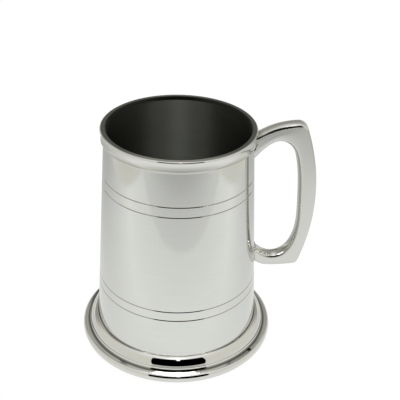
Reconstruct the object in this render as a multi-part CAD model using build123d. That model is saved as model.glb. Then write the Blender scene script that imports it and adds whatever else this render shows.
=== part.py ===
from build123d import *
import math
import os

# One-pint pewter tankard. Origin on the axis at the table, +Z up, handle towards +X, millimetres.
# Profiles are drawn as (radius, height) in the XZ plane and turned about Z.

# Driving dimensions
RIM_TOP_Z = 123.65             # flat top of the lip
HANDLE_TOP_Z = 125.45
BARREL_FOOT_RADIUS = 44.2      # outer radius of the barrel at BARREL_FOOT_Z
BARREL_FOOT_Z = 10.5
BARREL_MOUTH_RADIUS = 38.1     # outer radius of the barrel at BARREL_MOUTH_Z
BARREL_MOUTH_Z = 117.5
WALL = 1.2                     # radial thickness of the barrel
BARREL_BOTTOM_Z = 6.8
BARREL_TOP_Z = 121.6
LINE_HEIGHTS = (33.5, 38.8, 93.5, 99.0)   # engraved lines, lowest first
LINE_WIDTH = 0.6
LINE_DEPTH = 0.28
SOLDER_CHAMFER = 0.6           # chamfer on the barrel's top edge, filled with solder

FLOOR_THICKNESS = 1.5
FLOOR_FILLET = 1.8             # solder leg in the corner of the cup
FLANGE_INNER_RADIUS = 41.0     # inward flange of the foot, under barrel and floor
FLANGE_THICKNESS = 1.4
FOOT_SOLDER_LEG = 1.3

LIP_RADIUS = 39.7              # widest circle of the lip
COLLAR_RADIUS = 39.15          # waist of the hollow collar under the lip
COLLAR_WAIST_Z = 120.0
COLLAR_BOTTOM_Z = 117.3

FOOT_TOP_Z = 11.1
FOOT_SEAT_Z = 10.3             # where the foot's lip meets the barrel
FOOT_RADIUS = 53.0
FOOT_INSIDE_RADIUS = 49.6      # inner edge of the ring that the foot stands on

HANDLE_THICKNESS = 8.2         # across the handle, along Y
HANDLE_EDGE_RADIUS = 1.8
SHOULDER_RADIUS = 2.2          # square shoulders at the outer corners of the handle
INSIDE_BARREL_X = 30.0         # handle outlines run in to here before the barrel is cut away

UPPER_PAD_Z = (109.5, 115.0)   # solder pad behind the upper root
LOWER_ROOT_Z = (42.5, 51.3)    # where the lower arm meets the barrel
PAD_WIDTH = 5.0
PAD_DEPTH = 0.6
FILLET_SPREAD = 1.5            # solder fillet around the lower root
FILLET_HEIGHT = 1.6


def barrel_radius(z):
    """Outer radius of the barrel, a straight cone."""
    taper = (BARREL_MOUTH_RADIUS - BARREL_FOOT_RADIUS) / (BARREL_MOUTH_Z - BARREL_FOOT_Z)
    return BARREL_FOOT_RADIUS + taper * (z - BARREL_FOOT_Z)


def bore_radius(z):
    """Inner radius of the barrel."""
    return barrel_radius(z) - WALL


def at(radius, z):
    """A profile point in the XZ plane."""
    return Vector(radius, 0, z)


def lines(*points):
    """Straight edges through the profile points."""
    return [Line(at(*a), at(*b)) for a, b in zip(points, points[1:])]


def arc(start, through, end):
    """One arc of a profile."""
    return ThreePointArc(at(*start), at(*through), at(*end))


def profile_face(edges):
    """The flat face inside a closed chain of edges."""
    return Face(Wire(edges))


def turned(edges):
    """A ring or disc turned from a closed profile."""
    return revolve(profile_face(edges), Axis.Z, 360)


def turned_polygon(*points):
    """A ring or disc turned from a polygon."""
    return turned(lines(*points, points[0]))


def make_barrel():
    """Tapered tube with a V groove for each engraved line and a chamfer for the rim solder."""
    outside = [(barrel_radius(BARREL_BOTTOM_Z), BARREL_BOTTOM_Z)]
    for z in LINE_HEIGHTS:
        low, high = z - LINE_WIDTH / 2, z + LINE_WIDTH / 2
        outside.append((barrel_radius(low), low))
        outside.append((barrel_radius(z) - LINE_DEPTH, z))
        outside.append((barrel_radius(high), high))
    chamfer_z = BARREL_TOP_Z - SOLDER_CHAMFER
    outside.append((barrel_radius(chamfer_z), chamfer_z))
    outside.append((barrel_radius(BARREL_TOP_Z) - SOLDER_CHAMFER, BARREL_TOP_Z))
    inside = [
        (bore_radius(BARREL_TOP_Z), BARREL_TOP_Z),
        (bore_radius(BARREL_BOTTOM_Z), BARREL_BOTTOM_Z),
    ]
    return turned_polygon(*outside, *inside)


def make_rim_solder():
    """Solder that fills the chamfer between the barrel's top edge and the rim moulding."""
    chamfer_z = BARREL_TOP_Z - SOLDER_CHAMFER
    return turned_polygon(
        (barrel_radius(chamfer_z), chamfer_z),
        (barrel_radius(BARREL_TOP_Z), BARREL_TOP_Z),
        (barrel_radius(BARREL_TOP_Z) - SOLDER_CHAMFER, BARREL_TOP_Z),
    )


def rim_outside():
    """Visible outline of the rim moulding, from the bore over the lip and down the collar."""
    lip_start = (bore_radius(BARREL_TOP_Z), BARREL_TOP_Z)
    throat = (36.75, RIM_TOP_Z - 0.4)
    crest = (37.15, RIM_TOP_Z)
    lip_edge = (38.95, RIM_TOP_Z - 0.05)
    brow = (LIP_RADIUS, RIM_TOP_Z - 0.85)
    waist = (COLLAR_RADIUS, COLLAR_WAIST_Z)
    flare = (39.22, 118.3)
    bead = (39.34, 117.85)
    bead_bottom = (39.25, COLLAR_BOTTOM_Z)
    return [
        *lines(lip_start, throat),
        arc(throat, (36.87, RIM_TOP_Z - 0.12), crest),
        *lines(crest, lip_edge),
        arc(lip_edge, (39.49, RIM_TOP_Z - 0.27), brow),
        arc(brow, (39.25, 121.2), waist),
        arc(waist, (39.16, 119.2), flare),
        *lines(flare, bead),
        arc(bead, (39.37, 117.6), bead_bottom),
        *lines(bead_bottom, (barrel_radius(COLLAR_BOTTOM_Z), COLLAR_BOTTOM_Z)),
    ]


def make_rim_moulding():
    """Lip ring with a collar that grips the outside of the barrel's mouth."""
    inside = lines(
        (barrel_radius(COLLAR_BOTTOM_Z), COLLAR_BOTTOM_Z),
        (barrel_radius(BARREL_TOP_Z), BARREL_TOP_Z),
        (bore_radius(BARREL_TOP_Z), BARREL_TOP_Z),
    )
    return turned([*rim_outside(), *inside])


def make_floor_plate():
    """Flat disc that closes the bottom of the barrel."""
    top = BARREL_BOTTOM_Z + FLOOR_THICKNESS
    return turned_polygon(
        (0, BARREL_BOTTOM_Z),
        (bore_radius(BARREL_BOTTOM_Z), BARREL_BOTTOM_Z),
        (bore_radius(top), top),
        (0, top),
    )


def make_floor_solder():
    """Concave fillet of solder around the floor, inside the cup."""
    low = BARREL_BOTTOM_Z + FLOOR_THICKNESS
    high = low + FLOOR_FILLET
    corner = (bore_radius(low), low)
    toe = (bore_radius(low) - FLOOR_FILLET, low)
    head = (bore_radius(high), high)
    middle = (corner[0] - FLOOR_FILLET * 0.3, low + FLOOR_FILLET * 0.3)
    return turned([arc(toe, middle, head), *lines(head, corner, toe)])


def make_foot_solder():
    """Ring of solder under the floor, against the inner edge of the foot's flange."""
    return turned_polygon(
        (FLANGE_INNER_RADIUS, BARREL_BOTTOM_Z),
        (FLANGE_INNER_RADIUS - FOOT_SOLDER_LEG, BARREL_BOTTOM_Z),
        (FLANGE_INNER_RADIUS, BARREL_BOTTOM_Z - FOOT_SOLDER_LEG),
    )


def foot_outside():
    """Visible outline of the foot: lip, ovolo, ridge, cove, flange and the sole it stands on."""
    seat = (barrel_radius(FOOT_SEAT_Z), FOOT_SEAT_Z)
    lip_side = (44.32, 10.9)
    lip_top = (44.5, FOOT_TOP_Z)
    ovolo = (46.1, 10.3)
    ridge = (48.38, 7.3)
    nose = (48.5, 6.8)
    flange = (49.6, 4.85)
    shelf = (51.1, 4.6)
    corner = (FOOT_RADIUS, 2.6)
    brim = (52.95, 1.6)
    sole = (51.5, 0)
    return [
        *lines(seat, lip_side),
        arc(lip_side, (44.37, 11.02), lip_top),
        arc(lip_top, (45.33, 10.79), ovolo),
        arc(ovolo, (47.41, 9.02), ridge),
        arc(ridge, (48.48, 7.07), nose),
        arc(nose, (48.8, 5.65), flange),
        *lines(flange, shelf),
        arc(shelf, (52.45, 3.98), corner),
        arc(corner, (53.0, 2.1), brim),
        arc(brim, (52.48, 0.58), sole),
        *lines(sole, (FOOT_INSIDE_RADIUS, 0)),
    ]


def make_foot_moulding():
    """Spun shell of the foot, hollow underneath, with an inward flange under the barrel."""
    flange_bottom = BARREL_BOTTOM_Z - FLANGE_THICKNESS
    inside = lines(
        (FOOT_INSIDE_RADIUS, 0),
        (49.4, 2.4),
        (48.0, 3.4),
        (46.6, flange_bottom),
        (FLANGE_INNER_RADIUS, flange_bottom),
        (FLANGE_INNER_RADIUS, BARREL_BOTTOM_Z),
        (barrel_radius(BARREL_BOTTOM_Z), BARREL_BOTTOM_Z),
        (barrel_radius(FOOT_SEAT_Z), FOOT_SEAT_Z),
    )
    return turned([*foot_outside(), *inside])


def body_envelope():
    """Solid of revolution bounded by the barrel and the rim moulding, to cut roots to fit."""
    below = (barrel_radius(BARREL_BOTTOM_Z), BARREL_BOTTOM_Z)
    collar_foot = (barrel_radius(COLLAR_BOTTOM_Z), COLLAR_BOTTOM_Z)
    lip_start = (bore_radius(BARREL_TOP_Z), BARREL_TOP_Z)
    core = lines(collar_foot, below, (0, BARREL_BOTTOM_Z), (0, BARREL_TOP_Z), lip_start)
    return turned([*rim_outside(), *core])


def handle_outline():
    """Outer edge of the handle: arched top, bowed back and nearly flat underside."""
    top_start = (37.6, 117.6)
    top_end = (61.6, HANDLE_TOP_Z)
    upper_corner = (64.3, HANDLE_TOP_Z)
    lower_corner = (66.0, 40.3)
    underside_end = (60.0, 39.8)
    root = (41.7, 42.9)
    return [
        arc(top_start, (49.0, 123.5), top_end),
        *lines(top_end, upper_corner),
        arc(upper_corner, (73.0, 81.5), lower_corner),
        *lines(lower_corner, underside_end),
        Spline(at(*underside_end), at(52.0, 39.6), at(46.5, 40.3), at(*root)),
        *lines(root, (INSIDE_BARREL_X, root[1]), (INSIDE_BARREL_X, top_start[1]), top_start),
    ]


def grip_opening():
    """Edge of the finger opening, one smooth curve closed off inside the barrel."""
    curve = [
        (38.1, 104.4),
        (44.4, 111.5),
        (51.8, 115.2),
        (57.9, 111.9),
        (61.3, 104.0),
        (64.0, 78.0),
        (61.9, 54.4),
        (58.1, 48.6),
        (52.0, 46.3),
        (46.4, 48.1),
        (41.2, 52.5),
    ]
    return [Spline(*[at(*point) for point in curve]), *lines(curve[-1], curve[0])]


def handle_casting():
    """The handle before its roots are cut to fit the barrel."""
    outer = profile_face(handle_outline())
    corners = [v for v in outer.vertices() if v.X > 63]
    outer = outer.fillet_2d(SHOULDER_RADIUS, corners)
    outline = outer - profile_face(grip_opening())
    blank = extrude(outline, HANDLE_THICKNESS / 2, dir=(0, 1, 0), both=True)
    half = HANDLE_THICKNESS / 2
    rounded = []
    for edge in blank.edges():
        box = edge.bounding_box()
        flat = math.isclose(box.min.Y, box.max.Y, abs_tol=1e-4)
        outside_barrel = box.max.X > INSIDE_BARREL_X + 1 and box.min.X > INSIDE_BARREL_X - 1
        if flat and outside_barrel and math.isclose(abs(box.min.Y), half, abs_tol=1e-3):
            rounded.append(edge)
    return fillet(rounded, HANDLE_EDGE_RADIUS)


def pad_block(low, high, reach):
    """Block across the handle's root, from inside the barrel out to `reach` beyond its wall."""
    outer_x = barrel_radius((low + high) / 2) + reach
    length = outer_x - INSIDE_BARREL_X
    block = Box(length, PAD_WIDTH, high - low)
    return Pos(INSIDE_BARREL_X + length / 2, 0, (low + high) / 2) * block


def lower_root_fillet():
    """Tapered collar around the lower root, before barrel and handle are cut from it."""
    low, high = LOWER_ROOT_Z
    root_x = barrel_radius((low + high) / 2)
    plane = Plane(origin=(root_x + FILLET_HEIGHT, 0, (low + high) / 2), x_dir=(0, 1, 0), z_dir=(-1, 0, 0))
    tip = plane * RectangleRounded(HANDLE_THICKNESS + 0.2, high - low + 0.2, 1.6)
    return extrude(tip, FILLET_HEIGHT + 1.5, taper=-math.degrees(math.atan(FILLET_SPREAD / FILLET_HEIGHT)))


def make_handle_and_solders():
    """Handle cut to the barrel and rim, with the solder that holds its two roots."""
    envelope = body_envelope()
    casting = handle_casting() - envelope
    upper_pad = pad_block(*UPPER_PAD_Z, PAD_DEPTH) - envelope
    lower_pad = pad_block(LOWER_ROOT_Z[0] + 2, LOWER_ROOT_Z[1] - 2, PAD_DEPTH) - envelope
    handle = casting - upper_pad - lower_pad
    lower_solder = (lower_root_fillet() - envelope - casting) + lower_pad
    return handle, upper_pad, lower_solder


def write(node, shape):
    """One STEP file per sub-part."""
    export_step(shape, os.path.join("parts", node + ".step"))


os.makedirs("parts", exist_ok=True)
handle, upper_handle_solder, lower_handle_solder = make_handle_and_solders()
write("barrel", make_barrel())
write("rim_moulding", make_rim_moulding())
write("rim_solder", make_rim_solder())
write("floor_plate", make_floor_plate())
write("floor_solder", make_floor_solder())
write("foot_moulding", make_foot_moulding())
write("foot_solder", make_foot_solder())
write("handle", handle)
write("upper_handle_solder", upper_handle_solder)
write("lower_handle_solder", lower_handle_solder)
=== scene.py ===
import math

import bmesh
import bpy
import numpy as np
from mathutils import Matrix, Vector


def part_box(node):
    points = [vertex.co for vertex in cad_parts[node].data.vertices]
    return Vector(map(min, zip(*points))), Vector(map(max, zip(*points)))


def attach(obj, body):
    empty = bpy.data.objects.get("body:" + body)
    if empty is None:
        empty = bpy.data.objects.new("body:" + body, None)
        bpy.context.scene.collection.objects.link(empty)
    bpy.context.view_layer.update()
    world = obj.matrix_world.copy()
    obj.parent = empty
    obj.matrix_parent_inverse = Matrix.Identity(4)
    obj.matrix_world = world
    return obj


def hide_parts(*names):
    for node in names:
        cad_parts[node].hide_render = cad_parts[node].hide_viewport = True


# A one-pint pewter tankard on a white sheet. Profiles are (radius, height) in millimetres about
# the axis of the barrel, and MM turns them into metres when a mesh is made.

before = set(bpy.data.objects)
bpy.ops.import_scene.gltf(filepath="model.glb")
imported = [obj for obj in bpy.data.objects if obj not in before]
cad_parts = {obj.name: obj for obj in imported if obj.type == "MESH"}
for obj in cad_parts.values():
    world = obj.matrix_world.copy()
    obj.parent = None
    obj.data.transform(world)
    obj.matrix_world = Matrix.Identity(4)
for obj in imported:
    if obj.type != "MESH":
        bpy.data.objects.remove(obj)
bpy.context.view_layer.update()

MM = 0.001
AROUND = 288                  # steps round the axis of a turned piece


def levels(node):
    """Heights of the bottom and the top of a CAD node, in millimetres."""
    return [(corner / MM).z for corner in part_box(node)]


COLLAR_BOTTOM, RIM_TOP = levels("rim_moulding")
BARREL_BOTTOM, BARREL_TOP = levels("barrel")
_, FOOT_TOP = levels("foot_moulding")
_, FLOOR_TOP = levels("floor_plate")
_, HANDLE_TOP = levels("handle")
HANDLE_HALF = (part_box("handle")[1] / MM).y      # half the handle's thickness

BARREL_FOOT = (44.2, 10.5)    # two points on the barrel's straight outer side
BARREL_MOUTH = (38.1, 117.5)
WALL = 1.2
LINE_HEIGHTS = (33.5, 38.8, 93.5, 99.0)
LINE_WIDTH = 0.6
LINE_DEPTH = 0.23
LINE_BORDER = 0.15            # strip beside each engraved line that keeps its edge crisp
LIP_INNER_RADIUS = 37.15      # where the flat top of the lip begins
NEAR = 0.02                   # a face this near to a surface lies on it


# ---------------------------------------------------------------- curves

def barrel_radius(z):
    """Outer radius of the barrel at a height."""
    taper = (BARREL_MOUTH[0] - BARREL_FOOT[0]) / (BARREL_MOUTH[1] - BARREL_FOOT[1])
    return BARREL_FOOT[0] + taper * (z - BARREL_FOOT[1])


def bore_radius(z):
    """Inner radius of the barrel at a height."""
    return barrel_radius(z) - WALL


def line(start, end, count=2):
    """Points along a straight run."""
    return np.linspace(start, end, count)


def crisp_line(start, end, hem=0.04):
    """A straight run with a narrow step at each end, so that the curves beside it don't shade it."""
    start, end = np.array(start, dtype=float), np.array(end, dtype=float)
    step = (end - start) / np.linalg.norm(end - start) * hem
    return np.array([start, start + step, end - step, end])


def arc(start, through, end, count=12):
    """Points along the circle through three points."""
    a, b, c = (complex(*p) for p in (start, through, end))
    w = (c - a) / (b - a)
    centre = (b - a) * (w - abs(w) ** 2) / (2j * w.imag) + a
    from_angle = np.angle(a - centre)
    turn = np.angle((c - centre) / (a - centre))
    side = np.angle((b - centre) / (a - centre))
    if (side > 0) != (turn > 0) or abs(side) > abs(turn):
        turn -= math.copysign(2 * math.pi, turn)
    ring = centre + abs(a - centre) * np.exp(1j * (from_angle + np.linspace(0, turn, count)))
    return np.stack([ring.real, ring.imag], axis=1)


def distances(points):
    """How far along a line each of its points is."""
    steps = np.linalg.norm(np.diff(points, axis=0), axis=1)
    return np.concatenate([[0], np.cumsum(steps)])


def spline(points, count):
    """Points along the natural cubic spline through the given ones."""
    knots = np.array(points, dtype=float)
    at = distances(knots)
    steps = np.diff(at)
    n = len(knots)
    system, right = np.eye(n), np.zeros_like(knots)
    for i in range(1, n - 1):
        system[i, i - 1:i + 2] = steps[i - 1], 2 * (steps[i - 1] + steps[i]), steps[i]
        slope_after = (knots[i + 1] - knots[i]) / steps[i]
        slope_before = (knots[i] - knots[i - 1]) / steps[i - 1]
        right[i] = 6 * (slope_after - slope_before)
    bend = np.linalg.solve(system, right)
    made = []
    for t in np.linspace(0, at[-1], count):
        i = min(np.searchsorted(at, t, side="right") - 1, n - 2)
        h, left, remaining = steps[i], t - at[i], at[i + 1] - t
        cubic = (bend[i] * remaining ** 3 + bend[i + 1] * left ** 3) / (6 * h)
        straight = (knots[i] / h - bend[i] * h / 6) * remaining
        made.append(cubic + straight + (knots[i + 1] / h - bend[i + 1] * h / 6) * left)
    return np.array(made)


def chain(*runs):
    """One line of points from runs that meet end to start."""
    points = [runs[0]]
    for run in runs[1:]:
        points.append(run[1:] if np.allclose(points[-1][-1], run[0], atol=1e-6) else run)
    return np.concatenate(points)


def resample(points, count, start=0.0, end=1.0):
    """Evenly spaced points between two shares of a line's length."""
    at = distances(points)
    wanted = np.linspace(start, end, count) * at[-1]
    return np.stack([np.interp(wanted, at, points[:, k]) for k in (0, 1)], axis=1)


def share_nearest(points, target):
    """The share of a line's length at its point nearest to the target."""
    at = distances(points)
    nearest = np.argmin(np.linalg.norm(points - np.array(target), axis=1))
    return at[nearest] / at[-1]


def eased_corner(before, after, reach, count=14):
    """Two lines that meet at a corner, joined by a curve that starts `reach` before it."""
    pull = 0.56               # share of the way to the corner of the curve's two handles
    first = resample(before, len(before), 0, 1 - reach / distances(before)[-1])
    last = resample(after, len(after), reach / distances(after)[-1], 1)
    corner = before[-1]
    a, d = first[-1], last[0]
    b, c = a + (corner - a) * pull, d + (corner - d) * pull
    t = np.linspace(0, 1, count)[:, None]
    curve = (1 - t) ** 3 * a + 3 * t * (1 - t) ** 2 * b + 3 * t ** 2 * (1 - t) * c + t ** 3 * d
    return chain(first, curve, last)


# ---------------------------------------------------------------- meshes

def mesh_piece(name, vertices, faces, sharp_angle):
    """A smooth-shaded mesh object from points in millimetres."""
    mesh = bpy.data.meshes.new(name)
    mesh.from_pydata([tuple(v) for v in np.array(vertices) * MM], [], faces)
    mesh.polygons.foreach_set("use_smooth", [True] * len(mesh.polygons))
    made = bmesh.new()
    made.from_mesh(mesh)
    bmesh.ops.remove_doubles(made, verts=made.verts, dist=1e-7)
    bmesh.ops.recalc_face_normals(made, faces=made.faces)
    made.to_mesh(mesh)
    made.free()
    mesh.set_sharp_from_angle(angle=math.radians(sharp_angle))
    piece = bpy.data.objects.new(name, mesh)
    bpy.context.scene.collection.objects.link(piece)
    return piece


def skin(sections, count, ring=True, closed=True):
    """Faces from section to section of `count` points each, in a ring of sections or in a row."""
    faces = []
    for i in range(sections if ring else sections - 1):
        here, there = i * count, (i + 1) % sections * count
        for k in range(count if closed else count - 1):
            after = (k + 1) % count
            faces.append((here + k, there + k, there + after, here + after))
    return faces


def turned(name, outline, sharp_angle, closed=True):
    """A ring turned from a closed profile, or a disc from an open one with its ends on the axis."""
    angles = np.linspace(0, 2 * math.pi, AROUND, endpoint=False)
    vertices = [(r * math.cos(a), r * math.sin(a), z) for a in angles for r, z in outline]
    return mesh_piece(name, vertices, skin(AROUND, len(outline), closed=closed), sharp_angle)


def stand_for(piece, node, slot, *materials):
    """The piece rides on the tankard in place of its CAD node, with its materials."""
    for material in materials:
        piece.data.materials.append(material)
    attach(piece, "root")
    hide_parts(node)


def face_place(face):
    """Radius and height of the middle of a face, in millimetres."""
    return math.hypot(face.center.x, face.center.y) / MM, face.center.z / MM


# ---------------------------------------------------------------- outlines of the turned pieces

def on_barrel(z, sunk=0.0):
    """A point on the barrel's outer side, or sunk below it."""
    return barrel_radius(z) - sunk, z


def in_bore(z):
    """A point on the barrel's inner side."""
    return bore_radius(z), z


def grooved_side():
    """Outer side of the barrel, upwards, with a V groove at each engraved line."""
    runs = []
    low = BARREL_BOTTOM
    for z in LINE_HEIGHTS:
        start, end = z - LINE_WIDTH / 2, z + LINE_WIDTH / 2
        bottom = on_barrel(z, LINE_DEPTH)
        border = on_barrel(start - LINE_BORDER)
        runs += [line(on_barrel(low), border, 6), line(border, on_barrel(start))]
        runs += [line(on_barrel(start), bottom, 3), line(bottom, on_barrel(end), 3)]
        low = end + LINE_BORDER
        runs.append(line(on_barrel(end), on_barrel(low)))
    runs.append(line(on_barrel(low), on_barrel(BARREL_TOP), 6))
    return chain(*runs)


def barrel_outline():
    """Section of the barrel's wall."""
    return chain(grooved_side(), line(in_bore(BARREL_TOP), in_bore(BARREL_BOTTOM), 24))


def floor_outline():
    """Half section of the floor plate, from the axis underneath to the axis on top."""
    low_edge, top_edge = in_bore(BARREL_BOTTOM), in_bore(FLOOR_TOP)
    return chain(
        line((0, BARREL_BOTTOM), low_edge, 8), line(low_edge, top_edge), line(top_edge, (0, FLOOR_TOP), 8)
    )


def rim_outline():
    """Section of the rim moulding: rolled lip, hollow collar and the small bead under it."""
    lip_start = in_bore(BARREL_TOP)
    throat = (36.75, RIM_TOP - 0.4)
    crest = (LIP_INNER_RADIUS, RIM_TOP)
    lip_edge = (38.95, RIM_TOP - 0.05)
    brow = (39.7, RIM_TOP - 0.85)
    waist = (39.15, 120.0)
    flare = (39.22, 118.3)
    bead = (39.34, 117.85)
    bead_bottom = (39.25, COLLAR_BOTTOM)
    outside = chain(
        line(lip_start, throat, 4),
        arc(throat, (36.87, RIM_TOP - 0.12), crest, 8),
        crisp_line(crest, lip_edge),
        arc(lip_edge, (39.49, RIM_TOP - 0.27), brow, 14),
        arc(brow, (39.25, 121.2), waist, 16),
        arc(waist, (39.16, 119.2), flare, 8),
        line(flare, bead, 3),
        arc(bead, (39.37, 117.6), bead_bottom, 8),
    )
    under, grip = on_barrel(COLLAR_BOTTOM), on_barrel(BARREL_TOP)
    return chain(outside, line(bead_bottom, under), line(under, grip), line(grip, lip_start))[:-1]


def foot_outline():
    """Section of the hollow foot: lip, ovolo, ridge, cove, flange and the shell's inside."""
    seat = on_barrel(FOOT_TOP - 0.8)
    lip_side, lip_top, ovolo = (44.32, 10.9), (44.5, FOOT_TOP), (46.1, 10.3)
    ridge, nose = (48.38, 7.3), (48.5, 6.8)
    flange, shelf, corner = (49.6, 4.85), (51.1, 4.6), (53.0, 2.6)
    brim, sole = (52.95, 1.6), (51.5, 0.0)
    ledge_low, ledge_radius = BARREL_BOTTOM - 1.4, 41.0
    inside = [
        (49.6, 0.0), (49.4, 2.4), (48.0, 3.4), (46.6, ledge_low), (ledge_radius, ledge_low),
        (ledge_radius, BARREL_BOTTOM), on_barrel(BARREL_BOTTOM), seat,
    ]
    outside = chain(
        line(seat, lip_side, 3),
        arc(lip_side, (44.37, 11.02), lip_top, 8),
        arc(lip_top, (45.33, 10.79), ovolo, 12),
        arc(ovolo, (47.41, 9.02), ridge, 20),
        arc(ridge, (48.48, 7.07), nose, 8),
        arc(nose, (48.8, 5.65), flange, 18),
        crisp_line(flange, shelf),
        arc(shelf, (52.45, 3.98), corner, 16),
        arc(corner, (53.0, 2.1), brim, 6),
        arc(brim, (52.48, 0.58), sole, 10),
    )
    return chain(outside, *[line(a, b, 3) for a, b in zip([sole] + inside, inside)])[:-1]


# ---------------------------------------------------------------- handle

ROOT_DEPTH = 3.8              # depth of the handle's crowned outer face at the upper root,
ARM_DEPTH = 3.4               # along the upper arm,
SHOULDER_DEPTH = 2.0          # past the shoulder,
BACK_DEPTH = 1.0              # and down the back and the lower arm
DEPTH_STATIONS = (0, 0.5, 0.85, 1.2)    # where those hold: 0.75 is the shoulder, 3 the lower root
SQUARENESS = 2.8              # power of the outer face's curve: 2 is an ellipse, more is squarer
WORN_ROWS = 7                 # rows of faces each side of the middle that are worn to satin
GRIP_DEPTH = 2.0              # the grip side is rounded as half an ellipse: depth in the plane
GRIP_WIDTH = 3.6              # and width across the handle
CROWN = 0.1                   # how far the handle's flanks bow out
SHOULDER_EASE = 3.3           # how far before the shoulder its rounding starts
HEEL_EASE = 2.2               # and before the heel
BACK_MIDDLE = (73.0, 81.5)    # where the back bows out furthest
OUTER_MARKS = ((63.6, 124.6), BACK_MIDDLE, (65.4, 40.9))    # shoulder, middle of the back and heel,
INNER_MARKS = ((59.3, 109.6), (64.0, 81.5), (58.8, 48.8))   # and the grip side across from them
LOWER_ROOT = (42.5, 51.3)     # heights between which the lower arm meets the barrel
ROOT_CORNER = 2.2             # rounding of the arm's edges there
SOLDER_SPREAD = 1.1           # reach of the solder fillet round it,
SOLDER_IN_ARM = 0.6           # with how far it runs into the arm
SOLDER_IN_WALL = 0.3          # and into the barrel
RUN_POINTS = 70               # points from each mark to the next
FILLET_STEPS = 96             # steps round the lower root


def handle_outer():
    """Outer edge of the handle in the XZ plane, from the upper root to the lower."""
    top_end, shoulder = (61.6, HANDLE_TOP), (64.3, HANDLE_TOP)
    heel, under_start = (66.0, 40.3), (60.0, 39.8)
    top = chain(arc((37.6, 117.6), (49.0, 123.5), top_end, 60), line(top_end, shoulder))
    back = arc(shoulder, BACK_MIDDLE, heel, 160)
    under = chain(
        line(heel, under_start, 20),
        spline([under_start, (52.0, 39.6), (46.5, 40.3), (41.7, 42.9)], 60),
    )
    return eased_corner(eased_corner(top, back, SHOULDER_EASE), under, HEEL_EASE)


def handle_inner():
    """Edge of the finger opening, from the upper root to the lower."""
    return spline(
        [
            (38.1, 104.4), (44.4, 111.5), (51.8, 115.2), (57.9, 111.9), (61.3, 104.0), (64.0, 78.0),
            (61.9, 54.4), (58.1, 48.6), (52.0, 46.3), (46.4, 48.1), (41.2, 52.5),
        ],
        400,
    )


def even_runs(points, marks):
    """A line as equal numbers of points from each mark to the next."""
    stops = [0] + [share_nearest(points, mark) for mark in marks] + [1]
    return chain(*[resample(points, RUN_POINTS, a, b) for a, b in zip(stops, stops[1:])])


def inward(points, sign):
    """Unit vectors square to a line of points, on its left or right."""
    along = np.gradient(points, axis=0)
    along /= np.linalg.norm(along, axis=1)[:, None]
    return sign * np.stack([-along[:, 1], along[:, 0]], axis=1)


def handle_rows(outer, inner):
    """Lines of points (x, y, z) along the handle that go once round its section."""
    into_outer, into_inner = inward(outer, -1), inward(inner, 1)
    flat = HANDLE_HALF - CROWN
    depths = (ROOT_DEPTH, ARM_DEPTH, SHOULDER_DEPTH, BACK_DEPTH)
    depth = np.interp(np.linspace(0, 3, len(outer)), DEPTH_STATIONS, depths)[:, None]
    half = []
    for turn in np.linspace(0, math.pi / 2, 16):
        sunk = depth * (1 - math.cos(turn) ** (2 / SQUARENESS))
        half.append((outer + into_outer * sunk, flat * math.sin(turn) ** (2 / SQUARENESS)))
    outer_edge, inner_edge = outer + into_outer * depth, inner + into_inner * GRIP_DEPTH
    for share in np.linspace(0, 1, 14)[1:-1]:
        bow = CROWN * math.sin(math.pi * share)
        half.append((outer_edge * (1 - share) + inner_edge * share, flat + bow))
    for turn in np.linspace(math.pi / 2, 0, 11):
        sunk = GRIP_DEPTH * (1 - math.cos(turn))
        half.append((inner + into_inner * sunk, flat - GRIP_WIDTH * (1 - math.sin(turn))))
    half.append((inner, 0.0))
    whole = half + [(row, -y) for row, y in half[-2:0:-1]]
    return [np.column_stack([row[:, 0], np.full(len(row), y), row[:, 1]]) for row, y in whole]


def handle_mesh():
    """Cast handle, a closed tube of sections that runs in to the barrel at both roots."""
    outer = even_runs(handle_outer(), OUTER_MARKS)
    inner = even_runs(handle_inner(), INNER_MARKS)
    rows = handle_rows(outer, inner)
    sections, count = len(outer), len(rows)
    vertices = [row[i] for i in range(sections) for row in rows]
    ends = [tuple(range(count)), tuple(range((sections - 1) * count, sections * count))]
    piece = mesh_piece("handle_casting", vertices, skin(sections, count, ring=False) + ends, 50)
    for face in piece.data.polygons:
        from_middle = min(face.index % count, count - 1 - face.index % count)
        face.material_index = int(from_middle < WORN_ROWS)
    return piece


def lower_root_mesh():
    """Hollow fillet of solder around the lower arm where it meets the barrel."""
    low, high = LOWER_ROOT
    half_height, root_centre = (high - low) / 2, (low + high) / 2
    section = []
    for turn in np.linspace(0, math.pi / 2, 9):
        section.append((SOLDER_SPREAD * (1 - math.sin(turn)), SOLDER_SPREAD * (1 - math.cos(turn))))
    section += [
        (-SOLDER_IN_ARM, SOLDER_SPREAD), (-SOLDER_IN_ARM, -SOLDER_IN_WALL),
        (SOLDER_SPREAD, -SOLDER_IN_WALL),
    ]
    vertices = []
    for k in range(FILLET_STEPS):
        angle = 2 * math.pi * k / FILLET_STEPS
        across, up = math.cos(angle), math.sin(angle)
        corner_y = math.copysign(HANDLE_HALF - ROOT_CORNER, across)
        corner_z = root_centre + math.copysign(half_height - ROOT_CORNER, up)
        for out, lift in section:
            y = corner_y + (ROOT_CORNER + out) * across
            z = corner_z + (ROOT_CORNER + out) * up
            vertices.append((math.sqrt(barrel_radius(z) ** 2 - y ** 2) + lift, y, z))
    return mesh_piece("lower_root_fillet", vertices, skin(FILLET_STEPS, len(section)), 50)


# ---------------------------------------------------------------- shader nodes

def feed(tree, socket, value):
    """Link a socket to another one, or set its value."""
    if isinstance(value, bpy.types.NodeSocket):
        tree.links.new(value, socket)
    else:
        socket.default_value = value


def add(tree, kind, **inputs):
    """A node with values or links on its named inputs."""
    node = tree.nodes.new(kind)
    for name, value in inputs.items():
        feed(tree, node.inputs[name.replace("_", " ")], value)
    return node


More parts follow.
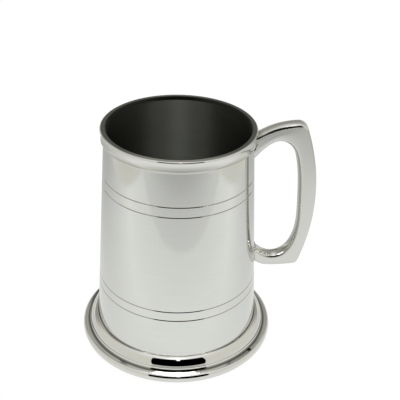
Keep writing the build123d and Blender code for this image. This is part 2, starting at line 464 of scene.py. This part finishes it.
def object_point(tree, scale=(1, 1, 1)):
    """Object coordinates, stretched."""
    where = tree.nodes.new("ShaderNodeTexCoord")
    mapping = add(tree, "ShaderNodeMapping", Vector=where.outputs["Object"], Scale=scale)
    return mapping.outputs["Vector"]


def noise(tree, scale, stretch=(1, 1, 1)):
    """Noise, given as cycles a metre."""
    point = object_point(tree, stretch)
    return add(tree, "ShaderNodeTexNoise", Vector=point, Scale=scale, Detail=3.0).outputs["Fac"]


def spread(tree, value, low, high):
    """A 0 to 1 value mapped to a range."""
    return add(tree, "ShaderNodeMapRange", Value=value, To_Min=low, To_Max=high).outputs["Result"]


def maths(tree, operation, *values):
    """A Math node on numbers or sockets."""
    node = tree.nodes.new("ShaderNodeMath")
    node.operation = operation
    for socket, value in zip(node.inputs, values):
        feed(tree, socket, value)
    return node.outputs[0]


def times(tree, first, second):
    """The product of two numbers or sockets."""
    return maths(tree, "MULTIPLY", first, second)


def inverse(tree, mask):
    """A mask that is 1 where the given one is 0."""
    return maths(tree, "SUBTRACT", 1.0, mask)


def ramp(tree, value, low, high):
    """Smooth step from 0 to 1 between two values."""
    node = add(tree, "ShaderNodeMapRange", Value=value, From_Min=low, From_Max=high)
    node.interpolation_type = "SMOOTHSTEP"
    return node.outputs["Result"]


def edge(tree, value, at, softness):
    """Smooth step from 0 to 1 about a value."""
    return ramp(tree, value, at - softness, at + softness)


def window(tree, value, opens, open_at, closes, closed_at):
    """1 between two values, falling smoothly to 0 outside them."""
    after = ramp(tree, value, opens, open_at)
    return times(tree, after, inverse(tree, ramp(tree, value, closes, closed_at)))


def blended(tree, share, first, second):
    """A number between two numbers or sockets."""
    node = add(tree, "ShaderNodeMix", Factor=share)
    feed(tree, node.inputs[2], first)
    feed(tree, node.inputs[3], second)
    return node.outputs[0]


def tinted(tree, share, first, second):
    """A colour between a colour or socket and a colour."""
    mix = tree.nodes.new("ShaderNodeMix")
    mix.data_type = "RGBA"
    feed(tree, mix.inputs["Factor"], share)
    feed(tree, mix.inputs[6], (*first, 1) if isinstance(first, tuple) else first)
    feed(tree, mix.inputs[7], (*second, 1))
    return mix.outputs[2]


def curve(tree, value, stops):
    """A level that follows straight lines between (value, level) stops."""
    low, high = stops[0][0], stops[-1][0]
    top = max(level for _, level in stops)
    share = add(tree, "ShaderNodeMapRange", Value=value, From_Min=low, From_Max=high).outputs["Result"]
    node = add(tree, "ShaderNodeValToRGB", Fac=share)
    elements = node.color_ramp.elements
    for place, _ in stops[1:-1]:
        elements.new((place - low) / (high - low))
    for element, (_, level) in zip(elements, stops):
        element.color = (level / top, level / top, level / top, 1)
    return times(tree, node.outputs["Color"], top)


def dimmed(tree, light, mask, loss):
    """A light that loses a share of its strength where the mask is 1."""
    return times(tree, light, inverse(tree, times(tree, mask, loss)))


def brightened(tree, light, mask, gain):
    """A light that gains some strength where the mask is 1."""
    return maths(tree, "MULTIPLY_ADD", mask, gain, light)


# ---------------------------------------------------------------- materials

BRIGHT_TONES = ((0.62, 0.615, 0.585), (0.67, 0.665, 0.635))
CAST_TONES = ((0.59, 0.585, 0.555), (0.645, 0.64, 0.61))
# colour of the painted shade in the foot's creases
CREASE_SHADE = (0.10, 0.10, 0.08)
TURNING_SCALE = 30            # cycles a metre round the axis, in the turning lines
CLOUD_SCALE = 45              # cycles a metre in the cloudy tone
TURNING_HEIGHT = 0.00002      # metres from the bottom to the top of the turning lines


def new_material(name):
    """A material with its node tree and its shader."""
    material = bpy.data.materials.new(name)
    material.use_nodes = True
    return material, material.node_tree, material.node_tree.nodes["Principled BSDF"]


def pewter(name, tones, roughness, brushing, fineness=900):
    """Pewter with fine turning lines, `fineness` to the metre, cloudy tone and uneven polish.

    Its tones are its darkest and lightest colour, and its roughness is a range."""
    material, tree, shader = new_material(name)
    lines = noise(tree, TURNING_SCALE, (1, 1, fineness / TURNING_SCALE))
    cloud = noise(tree, CLOUD_SCALE)
    tone = maths(tree, "ADD", times(tree, cloud, 0.5), times(tree, lines, 0.5))
    bump = add(tree, "ShaderNodeBump", Height=lines, Strength=brushing, Distance=TURNING_HEIGHT)
    shader.inputs["Metallic"].default_value = 1.0
    feed(tree, shader.inputs["Base Color"], tinted(tree, tone, *tones))
    feed(tree, shader.inputs["Roughness"], spread(tree, lines, *roughness))
    feed(tree, shader.inputs["Normal"], bump.outputs["Normal"])
    return material


def crease_shaded(material, creases):
    """The material with painted shade darkening its turned creases, given as (radius, height, reach) in
    mm.
    """
    tree = material.node_tree
    colour = tree.nodes["Principled BSDF"].inputs["Base Color"]
    x, y, z = add(tree, "ShaderNodeSeparateXYZ", Vector=object_point(tree)).outputs
    radius = maths(tree, "SQRT", maths(tree, "MULTIPLY_ADD", x, x, times(tree, y, y)))
    share = 0.0
    for crease_radius, height, reach in creases:
        out = maths(tree, "SUBTRACT", radius, crease_radius * MM)
        up = maths(tree, "SUBTRACT", z, height * MM)
        away = maths(tree, "SQRT", maths(tree, "MULTIPLY_ADD", out, out, times(tree, up, up)))
        share = maths(tree, "MAXIMUM", share, inverse(tree, ramp(tree, away, 0.0, reach * MM)))
    feed(tree, colour, tinted(tree, share, colour.links[0].from_socket, CREASE_SHADE))
    return material


def shaded_brushed_inside():
    """Dull inside of the cup, brushed round and round, so that it glows only up and down, with near-black
    tones that are painted shade.
    """
    # painted shade: near-black tones in place of the pewter's own colour
    tones = ((0.036, 0.0375, 0.032), (0.056, 0.058, 0.050))
    material = pewter("satin_pewter", tones, (0.46, 0.56), 0.6, 1100)
    tree = material.node_tree
    shader = tree.nodes["Principled BSDF"]
    tangent = tree.nodes.new("ShaderNodeTangent")
    tangent.direction_type = "RADIAL"
    tangent.axis = "Z"
    shader.inputs["Anisotropic"].default_value = 0.9
    shader.inputs["Anisotropic Rotation"].default_value = 0.25
    feed(tree, shader.inputs["Tangent"], tangent.outputs["Tangent"])
    return material


body_polish = pewter("body_pewter", ((0.60, 0.60, 0.575), (0.68, 0.68, 0.65)), (0.05, 0.10), 0.10)
rim_polish = pewter("polished_pewter", BRIGHT_TONES, (0.02, 0.05), 0.02)
# painted shade in the crease under the foot's ridge and where the foot meets the barrel
foot_polish_with_crease_shade = crease_shaded(
    pewter("foot_pewter", BRIGHT_TONES, (0.015, 0.045), 0.02),
    ((49.4, 4.85, 1.5), (44.1, 10.75, 0.6)),
)
cast = pewter("cast_pewter", CAST_TONES, (0.17, 0.23), 0.04, 120)
worn = pewter("worn_pewter", CAST_TONES, (0.34, 0.42), 0.04, 120)
shaded_satin = shaded_brushed_inside()
dull = pewter("dull_pewter", ((0.40, 0.40, 0.37), (0.48, 0.48, 0.45)), (0.32, 0.42), 0.4, 600)
solder = pewter("solder", ((0.56, 0.55, 0.53), (0.62, 0.61, 0.59)), (0.10, 0.18), 0.1, 200)
# Darker pewter for the sides of the engraved lines.
groove_darkening = pewter("darker_groove_pewter", ((0.34, 0.34, 0.30), (0.40, 0.39, 0.35)), (0.07, 0.13), 0.1)


# ---------------------------------------------------------------- the tankard

def in_groove(radius, z):
    """True for a place on the sides of the engraved lines."""
    near = min(abs(z - height) for height in LINE_HEIGHTS) < LINE_WIDTH / 2
    return near and bore_radius(z) + NEAR < radius < barrel_radius(z) - NEAR


def make_barrel():
    """Barrel wall, polished outside and dull inside, with its inside painted near-black as shade and
    darker tones in its engraved lines.
    """
    piece = turned("barrel_wall", barrel_outline(), 25)
    stand_for(piece, "barrel", "polished_pewter", body_polish, shaded_satin, groove_darkening)
    for face in piece.data.polygons:
        radius, z = face_place(face)
        if radius < bore_radius(z) + NEAR:
            face.material_index = 1
        elif in_groove(radius, z):
            face.material_index = 2
    return piece


def make_floor():
    """Floor of the cup, dull on both faces and darker on top, where it takes the cup's painted shade."""
    piece = turned("cup_floor", floor_outline(), 40, closed=False)
    stand_for(piece, "floor_plate", "satin_pewter", shaded_satin, dull)
    for face in piece.data.polygons:
        _, z = face_place(face)
        face.material_index = int(z < BARREL_BOTTOM + NEAR)
    return piece


def make_rim():
    """Rim moulding, polished, with its inner side dull and painted dark with shade like the cup."""
    piece = turned("rim_lip", rim_outline(), 30)
    stand_for(piece, "rim_moulding", "polished_pewter", rim_polish, shaded_satin)
    for face in piece.data.polygons:
        radius, _ = face_place(face)
        face.material_index = int(radius < LIP_INNER_RADIUS - NEAR)


def make_foot():
    """Moulded foot with painted shade in its creases."""
    stand_for(turned("foot_ring", foot_outline(), 30), "foot_moulding", "polished_pewter", foot_polish_with_crease_shade)


def make_handle():
    """Handle with a worn outer face, and the solder fillet at its lower root."""
    stand_for(handle_mesh(), "handle", "cast_pewter", cast, worn)
    stand_for(lower_root_mesh(), "lower_handle_solder", "solder", solder)


def paint_node(node, material):
    """A CAD node that keeps its own mesh, in one material."""
    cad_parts[node].data.materials.clear()
    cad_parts[node].data.materials.append(material)


barrel = make_barrel()
cup_floor = make_floor()
make_rim()
make_foot()
make_handle()
# the solder fillet inside the cup takes the cup's painted shade
paint_node("floor_solder", shaded_satin)
for hidden in ("foot_solder", "rim_solder", "upper_handle_solder"):
    paint_node(hidden, solder)


# ---------------------------------------------------------------- studio: table

# Metres, about the middle of the tankard
FLOOR_REACH = 3.0
FLOOR_COLOUR = (0.12, 0.12, 0.12, 1)
FLOOR_GLOW = 0.93
TABLE_DROP = 0.0002           # how far under the floor the mirrored table lies
SHEET_SIDE = 0.253            # half the width of the white sheet that the metal mirrors
SHEET_SIDE_BLUR = 0.006
SHEET_FRONT = -0.180          # its front edge
SHEET_FRONT_BLUR = 0.004
SHEET_SKEW = 0.031            # how far that edge is out of square, for each metre across
SHADE_SIDE = 0.222            # half the width of the shaded table in front of the sheet
SHADE_SIDE_BLUR = 0.01
# Brightness by metres back from the tankard, on the sheet and on the shaded table
SHEET_LEVELS = [(-0.2, 0.93), (-0.07, 1.07), (0.0, 0.91), (0.14, 0.63), (0.3, 0.46)]
SHADE_LEVELS = [(-0.4, 0.5), (-0.302, 0.62), (-0.257, 0.735), (-0.215, 0.82), (-0.18, 0.86)]
TABLE_LEVEL = 0.84            # brightness of the bare table
TABLE_FALL = (SHEET_SIDE + 0.01, SHEET_SIDE + 0.15)     # it dims between these, to each side,
TABLE_LOSS = 0.25             # by this share
SHEET_TINT = (0.985, 1.0, 0.985)
TABLE_TINT = (1.0, 1.0, 0.94)


def stage_plane(name, height, material):
    """A level square under the tankard."""
    mesh = bpy.data.meshes.new(name)
    r = FLOOR_REACH
    corners = [(-r, -r, height), (r, -r, height), (r, r, height), (-r, r, height)]
    mesh.from_pydata(corners, [], [(0, 1, 2, 3)])
    mesh.materials.append(material)
    plane = bpy.data.objects.new(name, mesh)
    bpy.context.scene.collection.objects.link(plane)
    return plane


def studio_floor():
    """White floor under the tankard, lit so that it photographs white."""
    material, _, shader = new_material("white_floor")
    shader.inputs["Roughness"].default_value = 1.0
    shader.inputs["Specular IOR Level"].default_value = 0.0
    shader.inputs["Base Color"].default_value = FLOOR_COLOUR
    shader.inputs["Emission Color"].default_value = (1, 1, 1, 1)
    shader.inputs["Emission Strength"].default_value = FLOOR_GLOW
    stage_plane("floor", 0.0, material).visible_glossy = False


def studio_table():
    """What the metal mirrors instead: a white sheet on a warm table, shaded in front."""
    material, tree, shader = new_material("table_top")
    tree.nodes.remove(shader)
    x, y, _ = add(tree, "ShaderNodeSeparateXYZ", Vector=object_point(tree)).outputs
    across = maths(tree, "ABSOLUTE", x)
    front = maths(tree, "MULTIPLY_ADD", x, SHEET_SKEW, SHEET_FRONT)
    ahead = edge(tree, maths(tree, "SUBTRACT", front, y), 0.0, SHEET_FRONT_BLUR)
    beside = edge(tree, across, SHEET_SIDE, SHEET_SIDE_BLUR)
    shaded = inverse(tree, edge(tree, across, SHADE_SIDE, SHADE_SIDE_BLUR))
    bare = maths(tree, "MAXIMUM", beside, maths(tree, "SUBTRACT", ahead, shaded))
    sheet = curve(tree, y, SHEET_LEVELS)
    shade = curve(tree, y, SHADE_LEVELS)
    level = blended(tree, bare, blended(tree, ahead, sheet, shade), TABLE_LEVEL)
    level = dimmed(tree, level, ramp(tree, across, *TABLE_FALL), TABLE_LOSS)
    colour = tinted(tree, bare, SHEET_TINT, TABLE_TINT)
    glow = add(tree, "ShaderNodeEmission", Color=colour, Strength=level)
    feed(tree, tree.nodes["Material Output"].inputs["Surface"], glow.outputs["Emission"])
    table = stage_plane("table", -TABLE_DROP, material)
    table.visible_camera = False
    table.visible_diffuse = False
    table.visible_shadow = False


# ---------------------------------------------------------------- studio: light

# Angles are degrees: heights above the horizon, and sides round from straight ahead. Where there
# are four, the first two are where a patch of light or shade begins, and the last two where it ends.
WALL_LEVELS = [(-90, 0.9), (45, 0.9), (60, 0.95), (75, 1.15), (90, 1.4)]
BACK_LEVELS = [
    (-90, 1.1), (5, 1.1), (9, 0.42), (30, 0.42), (50, 0.6), (62, 0.8), (74, 1.3), (90, 1.4),
]
BACK_SIDES = (110, 140)       # the tent's side walls turn into its back
PATCH_SIDES = (160, 168)      # dark patch in the middle of the back
PATCH_HEIGHTS = (18, 21, 29, 32)
PATCH_LOSS = 0.7
CORNER_SIDES = (112, 128, 150, 162)     # dim corners high up beside it
CORNER_HEIGHTS = (40, 50, 66, 74)
CORNER_LOSS = 0.5
OPENING_FOOT = (5, 8)         # heights over which the dark opening in front begins
OPENING_WIDTH = 0.58          # its half width a metre ahead,
OPENING_LEAN = 0.17           # and how much wider it gets for each metre up
OPENING_HEIGHT = 2.14         # its height a metre ahead,
OPENING_ARCH = 0.37           # and how much higher it is for each metre aside
FLANK_BLUR = 0.004            # softness of its sides
TOP_BLUR = 0.006              # and of its top
LAMP_SIDES = (14, 40)         # broad lamp over the opening fades out between these
LAMP_HEIGHTS = (64, 68, 84, 88)
LAMP_GAIN = 0.8
SPOT_SIDES = (-3, -1, 3, 5)   # small bright lamp at the top of the opening
SPOT_HEIGHTS = (57, 60, 66, 68)
SPOT_GAIN = 3.0
WARM_WALL = (1.0, 0.99, 0.92)
WARM_HEIGHTS = (45, 70)       # heights over which the walls turn from warm to white
WHITE = (1.0, 1.0, 1.0)


def tent_walls(tree, side, height):
    """Brightness of the tent, with a dark patch and dim corners at its back."""
    walls = curve(tree, height, WALL_LEVELS)
    back = curve(tree, height, BACK_LEVELS)
    light = blended(tree, ramp(tree, side, *BACK_SIDES), walls, back)
    patch = times(tree, ramp(tree, side, *PATCH_SIDES), window(tree, height, *PATCH_HEIGHTS))
    light = dimmed(tree, light, patch, PATCH_LOSS)
    corners = times(tree, window(tree, side, *CORNER_SIDES), window(tree, height, *CORNER_HEIGHTS))
    return dimmed(tree, light, corners, CORNER_LOSS)


def front_opening(tree, across, forward, z, height):
    """1 in the dark opening of the tent, where the photographer stands."""
    flank = maths(tree, "MULTIPLY_ADD", forward, OPENING_WIDTH, times(tree, z, OPENING_LEAN))
    top = maths(tree, "MULTIPLY_ADD", forward, OPENING_HEIGHT, times(tree, across, OPENING_ARCH))
    within = ramp(tree, maths(tree, "SUBTRACT", flank, across), 0.0, FLANK_BLUR)
    under = ramp(tree, maths(tree, "SUBTRACT", top, z), 0.0, TOP_BLUR)
    return times(tree, times(tree, within, under), ramp(tree, height, *OPENING_FOOT))


def studio_light():
    """White tent with a dim back and a dark opening in front, under a bright lamp and a spot."""
    world = bpy.data.worlds.new("tent")
    world.use_nodes = True
    bpy.context.scene.world = world
    tree = world.node_tree
    where = tree.nodes.new("ShaderNodeTexCoord")
    x, y, z = add(tree, "ShaderNodeSeparateXYZ", Vector=where.outputs["Generated"]).outputs
    across = maths(tree, "ABSOLUTE", x)
    forward = times(tree, y, -1.0)
    height = maths(tree, "DEGREES", maths(tree, "ARCSINE", z))
    side = maths(tree, "DEGREES", maths(tree, "ARCTAN2", across, forward))
    signed_side = maths(tree, "DEGREES", maths(tree, "ARCTAN2", x, forward))

    light = tent_walls(tree, side, height)
    light = dimmed(tree, light, front_opening(tree, across, forward, z, height), 1.0)
    lamp = times(tree, window(tree, height, *LAMP_HEIGHTS), inverse(tree, ramp(tree, side, *LAMP_SIDES)))
    light = brightened(tree, light, lamp, LAMP_GAIN)
    spot = times(tree, window(tree, signed_side, *SPOT_SIDES), window(tree, height, *SPOT_HEIGHTS))
    light = brightened(tree, light, spot, SPOT_GAIN)

    seen = tree.nodes.new("ShaderNodeLightPath").outputs["Is Camera Ray"]
    colour = tinted(tree, ramp(tree, height, *WARM_HEIGHTS), WARM_WALL, WHITE)
    background = tree.nodes["Background"]
    feed(tree, background.inputs["Color"], tinted(tree, seen, colour, WHITE))
    feed(tree, background.inputs["Strength"], blended(tree, seen, light, 1.0))


# ---------------------------------------------------------------- studio: camera and cup lamps

CAMERA_AZIMUTH = 3.53         # degrees round from square to the handle
CAMERA_BACK = 361.5           # mm from the axis
CAMERA_HEIGHT = 295.2         # mm above the table
CAMERA_PITCH = 30.705         # degrees down
CAMERA_YAW = 1.576
CAMERA_ROLL = 0.825
LENS = 71.65                  # mm, on a sensor
SENSOR = 36.0                 # this wide
CUP_LAMP_ELEVATION = 60       # degrees
CUP_LAMP_DISTANCE = 0.6       # metres from the mouth of the cup
CUP_LAMP_DEPTH = 0.12         # metres
CUP_LAMPS = (("cup_glow", 0.12, 3.2), ("cup_wash", 0.9, 8.5))   # width in metres, power in watts


def turn_about(axis, degrees):
    """A rotation about an axis."""
    return Matrix.Rotation(math.radians(degrees), 4, axis)


def cup_lamp(name, width, power, cup):
    """Soft lamp high in front that reaches the inside of the cup alone."""
    data = bpy.data.lights.new(name, "AREA")
    data.shape = "RECTANGLE"
    data.size, data.size_y = width, CUP_LAMP_DEPTH
    data.energy = power
    lamp = bpy.data.objects.new(name, data)
    bpy.context.scene.collection.objects.link(lamp)
    mouth = Matrix.Translation((0, 0, RIM_TOP * MM))
    aim = turn_about("Z", -CAMERA_AZIMUTH) @ turn_about("X", 90 - CUP_LAMP_ELEVATION)
    lamp.matrix_world = mouth @ aim @ Matrix.Translation((0, 0, CUP_LAMP_DISTANCE))
    lamp.light_linking.receiver_collection = cup


def studio_camera():
    """Camera above and in front of the tankard, handle to the right."""
    data = bpy.data.cameras.new("camera")
    data.lens = LENS
    data.sensor_width = SENSOR
    camera = bpy.data.objects.new("camera", data)
    bpy.context.scene.collection.objects.link(camera)
    place = Matrix.Translation((0, -CAMERA_BACK * MM, CAMERA_HEIGHT * MM))
    aim = turn_about("X", 90 - CAMERA_PITCH) @ turn_about("Y", -CAMERA_YAW) @ turn_about("Z", CAMERA_ROLL)
    camera.matrix_world = turn_about("Z", -CAMERA_AZIMUTH) @ place @ aim
    bpy.context.scene.camera = camera


studio_floor()
studio_table()
studio_light()
lit_cup = bpy.data.collections.new("cup")
for part in (barrel, cup_floor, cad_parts["floor_solder"]):
    lit_cup.objects.link(part)
for lamp_name, lamp_width, lamp_power in CUP_LAMPS:
    cup_lamp(lamp_name, lamp_width, lamp_power, lit_cup)
studio_camera()
bpy.context.scene.view_settings.view_transform = "Standard"
